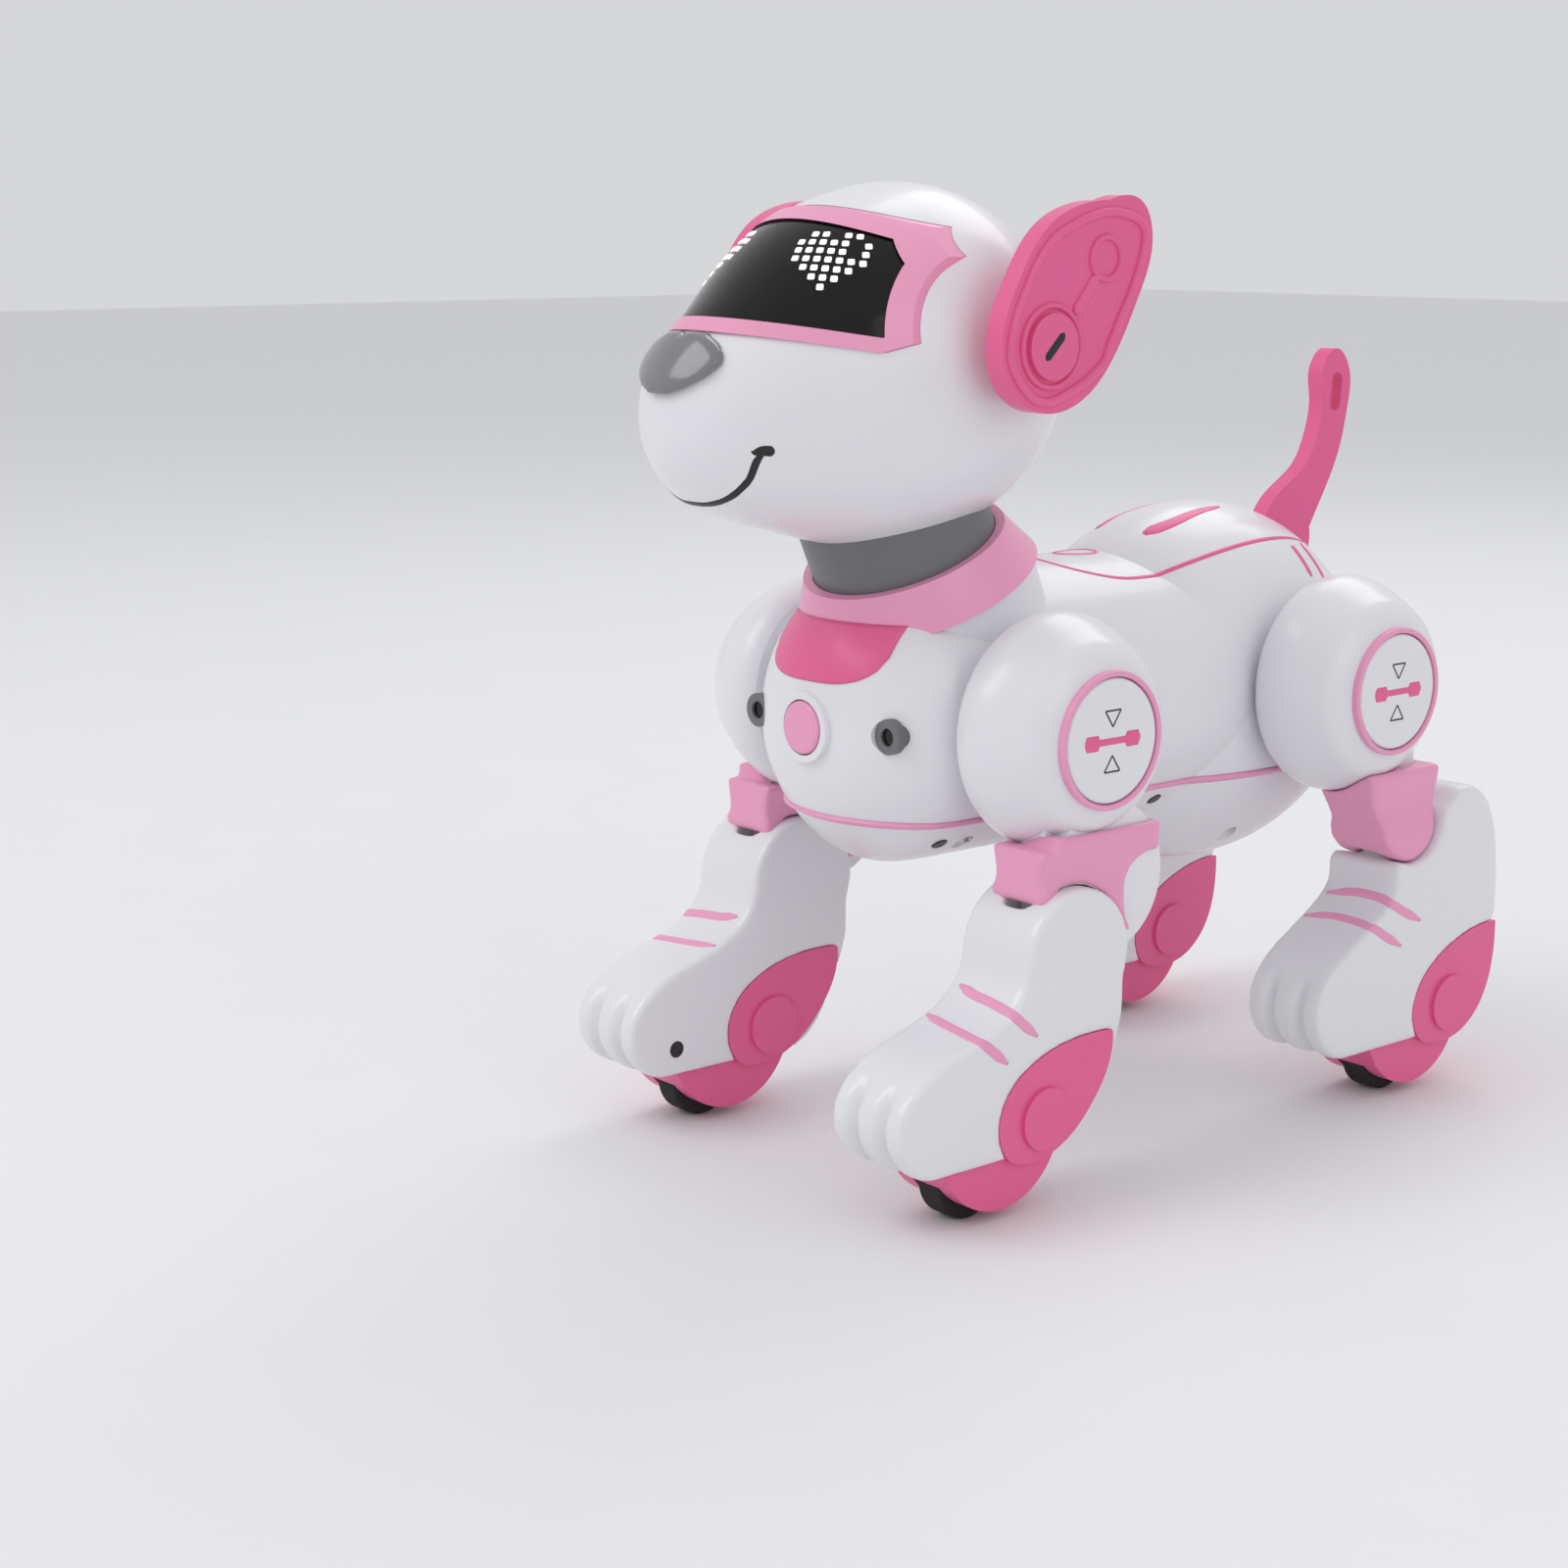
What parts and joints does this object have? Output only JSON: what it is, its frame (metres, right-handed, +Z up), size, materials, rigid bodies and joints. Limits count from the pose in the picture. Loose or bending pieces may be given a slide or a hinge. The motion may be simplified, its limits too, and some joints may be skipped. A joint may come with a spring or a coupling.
{
  "type": "robot dog toy",
  "caption": "Standing robot puppy toy with wheeled paws, turning hips, bending knees, swivelling head and ears, flexible tail and a dark visor with lit heart eyes.",
  "frame": {"origin": "on the floor under the middle of the toy: the bottom centre of its box", "axes": "+Z up, -Y the way the dog faces, +X the dog's left"},
  "size_m": [0.1322, 0.2533, 0.2503],
  "materials": {
    "white_shell": "glossy moulded ABS",
    "light_pink": "satin moulded ABS, light pink",
    "dark_pink": "satin moulded plastic, deep pink",
    "soft_pink": "matte flexible plastic, deep pink",
    "grey_plastic": "satin grey plastic",
    "nose_grey": "polished grey plastic",
    "black_lens": "polished smoked lens",
    "black_rubber": "matt black rubber",
    "steel": "zinc-plated steel",
    "circuit": "green solder mask",
    "battery": "blue shrink wrap",
    "black_plastic": "matt black plastic"
  },
  "bodies": {
    "torso": {"torso_shell": "white_shell", "back_cover": "white_shell", "belly_tray": "white_shell", "belly_trim": "light_pink", "collar": "light_pink", "chest_panel": "dark_pink", "sensor_bezels": "grey_plastic", "sensor_lenses": "black_lens", "battery_cover": "white_shell", "charging_socket": "black_plastic", "case_screws": "steel", "battery_pack": "battery", "circuit_board": "circuit", "speaker": "black_plastic", "leg_drives": "black_plastic"},
    "chest_button": {"chest_button": "light_pink"},
    "power_switch": {"power_switch": "black_plastic"},
    "tail": {"tail": "soft_pink"},
    "head": {"neck_sleeve": "grey_plastic", "head_front_shell": "white_shell", "head_rear_shell": "white_shell", "visor_bezel": "light_pink", "visor_lens": "black_lens", "eye_boards": "circuit", "nose": "nose_grey", "ear_mounts": "dark_pink"},
    "left_ear": {"left_ear": "dark_pink"},
    "right_ear": {"right_ear": "dark_pink"},
    "front_left_thigh": {"front_left_thigh_shell": "white_shell", "front_left_hub_ring": "light_pink", "front_left_hub_cap": "white_shell", "front_left_knee": "light_pink"},
    "front_left_shin": {"front_left_shin_shell": "white_shell", "front_left_heel_guard": "dark_pink", "front_left_wheel_cradle": "dark_pink"},
    "front_left_wheel": {"front_left_wheel": "black_rubber"},
    "front_right_thigh": {"front_right_thigh_shell": "white_shell", "front_right_hub_ring": "light_pink", "front_right_hub_cap": "white_shell", "front_right_knee": "light_pink"},
    "front_right_shin": {"front_right_shin_shell": "white_shell", "front_right_heel_guard": "dark_pink", "front_right_wheel_cradle": "dark_pink"},
    "front_right_wheel": {"front_right_wheel": "black_rubber"},
    "rear_left_thigh": {"rear_left_thigh_shell": "white_shell", "rear_left_hub_ring": "light_pink", "rear_left_hub_cap": "white_shell", "rear_left_knee": "light_pink"},
    "rear_left_shin": {"rear_left_shin_shell": "white_shell", "rear_left_heel_guard": "dark_pink", "rear_left_wheel_cradle": "dark_pink"},
    "rear_left_wheel": {"rear_left_wheel": "black_rubber"},
    "rear_right_thigh": {"rear_right_thigh_shell": "white_shell", "rear_right_hub_ring": "light_pink", "rear_right_hub_cap": "white_shell", "rear_right_knee": "light_pink"},
    "rear_right_shin": {"rear_right_shin_shell": "white_shell", "rear_right_heel_guard": "dark_pink", "rear_right_wheel_cradle": "dark_pink"},
    "rear_right_wheel": {"rear_right_wheel": "black_rubber"}
  },
  "joints": [
    {"name": "chest_button_press", "type": "slide", "parent": "torso", "child": "chest_button", "axis": [0, 1, 0], "range_m": [0, 0.0015], "stiffness_N_per_m": 400, "springref_m": -0.001},
    {"name": "power_switch_slide", "type": "slide", "parent": "torso", "child": "power_switch", "axis": [0, 1, 0], "range_m": [0, 0.003]},
    {"name": "tail_bend", "type": "hinge", "parent": "torso", "child": "tail", "pos_m": [0, 0.0995, 0.15], "axis": [1, 0, 0], "range_deg": [-15, 6], "stiffness_Nm_per_rad": 0.05},
    {"name": "neck_turn", "type": "hinge", "parent": "torso", "child": "head", "pos_m": [0, -0.047, 0.158], "axis": [0, -0.4067, 0.9135], "range_deg": [-45, 45]},
    {"name": "left_ear_turn", "type": "hinge", "parent": "head", "child": "left_ear", "pos_m": [0.05, -0.0514, 0.2116], "axis": [-1, 0, 0], "range_deg": [-30, 30]},
    {"name": "right_ear_turn", "type": "hinge", "parent": "head", "child": "right_ear", "pos_m": [-0.05, -0.0514, 0.2116], "axis": [-1, 0, 0], "range_deg": [-30, 30]},
    {"name": "front_left_hip", "type": "hinge", "parent": "torso", "child": "front_left_thigh", "pos_m": [0.0527, -0.0375, 0.1164], "axis": [-1, 0, 0], "range_deg": [-20, 60]},
    {"name": "front_left_knee_bend", "type": "hinge", "parent": "front_left_thigh", "child": "front_left_shin", "pos_m": [0.0527, -0.046, 0.0629], "axis": [-1, 0, 0], "range_deg": [-15, 20]},
    {"name": "front_left_wheel_roll", "type": "hinge", "parent": "front_left_shin", "child": "front_left_wheel", "pos_m": [0.0527, -0.075, 0.01], "axis": [-1, 0, 0], "continuous": true},
    {"name": "front_right_hip", "type": "hinge", "parent": "torso", "child": "front_right_thigh", "pos_m": [-0.0527, -0.0375, 0.1164], "axis": [-1, 0, 0], "range_deg": [-20, 60]},
    {"name": "front_right_knee_bend", "type": "hinge", "parent": "front_right_thigh", "child": "front_right_shin", "pos_m": [-0.0527, -0.046, 0.0629], "axis": [-1, 0, 0], "range_deg": [-15, 20]},
    {"name": "front_right_wheel_roll", "type": "hinge", "parent": "front_right_shin", "child": "front_right_wheel", "pos_m": [-0.0527, -0.075, 0.01], "axis": [-1, 0, 0], "continuous": true},
    {"name": "rear_left_hip", "type": "hinge", "parent": "torso", "child": "rear_left_thigh", "pos_m": [0.0527, 0.073, 0.1164], "axis": [-1, 0, 0], "range_deg": [-50, 12]},
    {"name": "rear_left_knee_bend", "type": "hinge", "parent": "rear_left_thigh", "child": "rear_left_shin", "pos_m": [0.0527, 0.086, 0.0784], "axis": [-1, 0, 0], "range_deg": [-6, 12]},
    {"name": "rear_left_wheel_roll", "type": "hinge", "parent": "rear_left_shin", "child": "rear_left_wheel", "pos_m": [0.0527, 0.087, 0.01], "axis": [-1, 0, 0], "continuous": true},
    {"name": "rear_right_hip", "type": "hinge", "parent": "torso", "child": "rear_right_thigh", "pos_m": [-0.0527, 0.073, 0.1164], "axis": [-1, 0, 0], "range_deg": [-50, 12]},
    {"name": "rear_right_knee_bend", "type": "hinge", "parent": "rear_right_thigh", "child": "rear_right_shin", "pos_m": [-0.0527, 0.086, 0.0784], "axis": [-1, 0, 0], "range_deg": [-6, 12]},
    {"name": "rear_right_wheel_roll", "type": "hinge", "parent": "rear_right_shin", "child": "rear_right_wheel", "pos_m": [-0.0527, 0.087, 0.01], "axis": [-1, 0, 0], "continuous": true}
  ]
}
